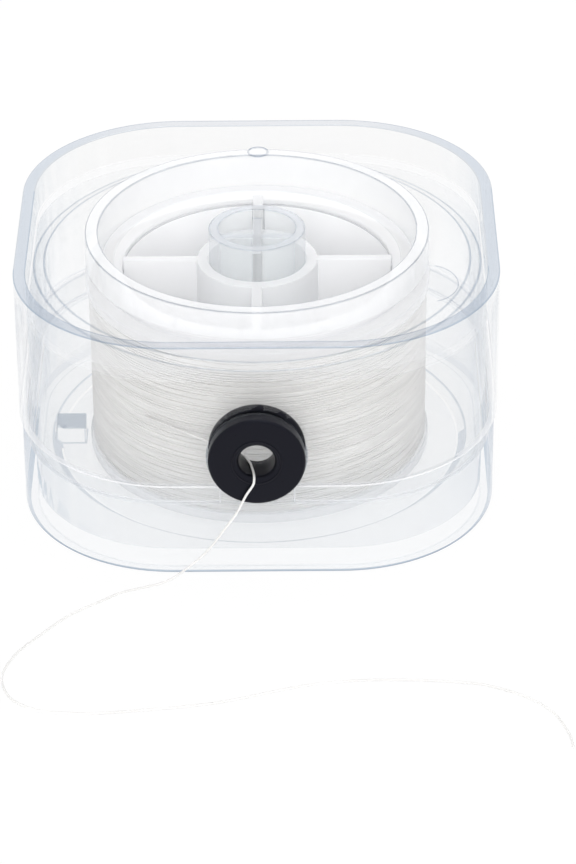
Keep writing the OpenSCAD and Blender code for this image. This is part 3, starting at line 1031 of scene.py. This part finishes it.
class BOBBINBOX_OT_stage(bpy.types.Operator):
    """Set the camera, the white sweep and the soft light"""
    bl_idname = "bobbinbox.stage"
    bl_label = "Stage"

    def execute(self, context):
        scene = context.scene
        data = bpy.data.cameras.new("camera")
        data.lens = CAMERA_LENS
        data.sensor_width = SENSOR_WIDTH
        camera = bpy.data.objects.new("camera", data)
        camera.location = CAMERA_PLACE
        camera.rotation_euler = [math.radians(a) for a in CAMERA_TURN]
        scene.collection.objects.link(camera)
        scene.camera = camera

        bpy.ops.object.select_all(action="DESELECT")
        bpy.ops.mesh.primitive_plane_add(size=SWEEP_SIZE, location=(0, 0, 0))
        sweep = context.active_object
        sweep.name = "white_sweep"
        sweep.data.materials.append(white_sweep("seamless_paper"))

        self.light_world(scene)
        for softbox in SOFTBOXES:
            self.hang_softbox(*softbox)
        scene.view_settings.view_transform = "Standard"
        scene.cycles.max_bounces = 24
        scene.cycles.diffuse_bounces = 12
        scene.cycles.glossy_bounces = 6
        scene.cycles.transparent_max_bounces = 96
        scene.cycles.use_denoising = True
        return {"FINISHED"}

    def hang_softbox(self, name, place, size, power, mirrored):
        """Hangs a soft light that points at the middle of the table."""
        data = bpy.data.lights.new(name, "AREA")
        data.size = size
        data.energy = power
        lamp = bpy.data.objects.new(name, data)
        lamp.location = place
        lamp.rotation_euler = (Vector() - Vector(place)).to_track_quat("-Z", "Y").to_euler()
        lamp.visible_glossy = mirrored
        bpy.context.scene.collection.objects.link(lamp)

    def light_world(self, scene):
        """White all round for what looks at it, and a band low down that is darker in the gloss."""
        scene.world = bpy.data.worlds.new("studio")
        scene.world.use_nodes = True
        tree = scene.world.node_tree
        tree.nodes.clear()
        rays = add_node(tree, "ShaderNodeLightPath")
        white = add_node(tree, "ShaderNodeBackground", {"Color": (1, 1, 1, 1), "Strength": 1.0})
        place = add_node(tree, "ShaderNodeTexCoord")
        height = add_node(tree, "ShaderNodeSeparateXYZ", {"Vector": place.outputs["Generated"]})
        rise = add_node(tree, "ShaderNodeMapRange", {
            "Value": height.outputs["Z"], "From Min": -0.05, "From Max": 0.5,
        })
        shade = add_node(tree, "ShaderNodeMix", {
            "Factor": rise.outputs["Result"], "A": opaque(linear("F4F5F7")), "B": (1, 1, 1, 1),
        }, data_type="RGBA")
        studio = add_node(tree, "ShaderNodeBackground", {
            "Color": outlet(shade, "Result"), "Strength": 1.0,
        })
        fill = add_node(tree, "ShaderNodeBackground", {
            "Color": opaque(linear("FDFDFE")), "Strength": FILL,
        })
        mixed = add_node(tree, "ShaderNodeMixShader", {
            "Fac": rays.outputs["Is Glossy Ray"], 1: fill.outputs["Background"],
            2: studio.outputs["Background"],
        })
        mixed = add_node(tree, "ShaderNodeMixShader", {
            "Fac": rays.outputs["Is Camera Ray"], 1: mixed.outputs["Shader"],
            2: white.outputs["Background"],
        })
        add_node(tree, "ShaderNodeOutputWorld", {"Surface": mixed.outputs["Shader"]})


class BOBBINBOX_PT_panel(bpy.types.Panel):
    """Lists the pieces of the bobbin box"""
    bl_label = "Bobbin Box"
    bl_idname = "BOBBINBOX_PT_panel"
    bl_space_type = "VIEW_3D"
    bl_region_type = "UI"
    bl_category = "Bobbin Box"

    def draw(self, context):
        for operator in OPERATORS:
            self.layout.operator(operator.bl_idname)


GROUPS = {
    "bobbinbox_case": CaseSizes,
    "bobbinbox_bobbin": BobbinSizes,
    "bobbinbox_grommet": GrommetSizes,
    "bobbinbox_thread": ThreadSizes,
    "bobbinbox_finishes": Finishes,
}
OPERATORS = [
    BOBBINBOX_OT_stage, BOBBINBOX_OT_grommet, BOBBINBOX_OT_thread, BOBBINBOX_OT_base,
    BOBBINBOX_OT_cover, BOBBINBOX_OT_bobbin, BOBBINBOX_OT_winding,
]


def register():
    for cls in (*GROUPS.values(), *OPERATORS, BOBBINBOX_PT_panel):
        bpy.utils.register_class(cls)
    for name, cls in GROUPS.items():
        setattr(bpy.types.Scene, name, bpy.props.PointerProperty(type=cls))


def unregister():
    for name in GROUPS:
        delattr(bpy.types.Scene, name)
    for cls in (BOBBINBOX_PT_panel, *reversed(OPERATORS), *reversed(GROUPS.values())):
        bpy.utils.unregister_class(cls)


def main():
    register()
    make_materials(bpy.context.scene.bobbinbox_finishes)
    bpy.ops.bobbinbox.stage()
    bpy.ops.bobbinbox.grommet()
    bpy.ops.bobbinbox.thread()
    bpy.ops.bobbinbox.base()
    bpy.ops.bobbinbox.cover()
    bpy.ops.bobbinbox.bobbin()
    bpy.ops.bobbinbox.winding()


if __name__ == "__main__":
    main()
